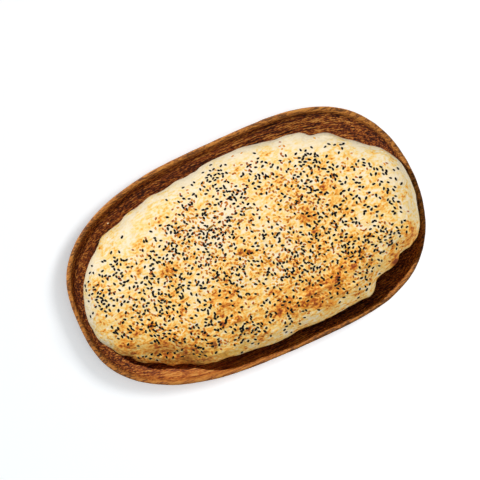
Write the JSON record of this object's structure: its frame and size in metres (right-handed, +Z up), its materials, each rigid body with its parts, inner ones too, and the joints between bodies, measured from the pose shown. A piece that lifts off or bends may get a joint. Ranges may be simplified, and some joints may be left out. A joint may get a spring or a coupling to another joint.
{
  "type": "puffed flatbread in an oval wooden tray",
  "caption": "Long, low puffed flatbread with a domed seeded crust, resting loose in a hollowed oval wooden serving tray with a flat underside.",
  "frame": {"origin": "middle of the tray's flat underside", "axes": "+X along the tray's length towards its blunter end, +Y across it, +Z up"},
  "size_m": [0.368, 0.224, 0.0696],
  "materials": {
    "bread_crust": "matt baked crust, pale at the edge and golden with brown patches on top, scattered with black and toasted sesame",
    "tray_wood": "oiled dark brown hardwood with a lighter, worn rim, satin"
  },
  "bodies": {
    "root": {"puff_bread": "bread_crust", "serving_tray": "tray_wood"}
  },
  "joints": []
}
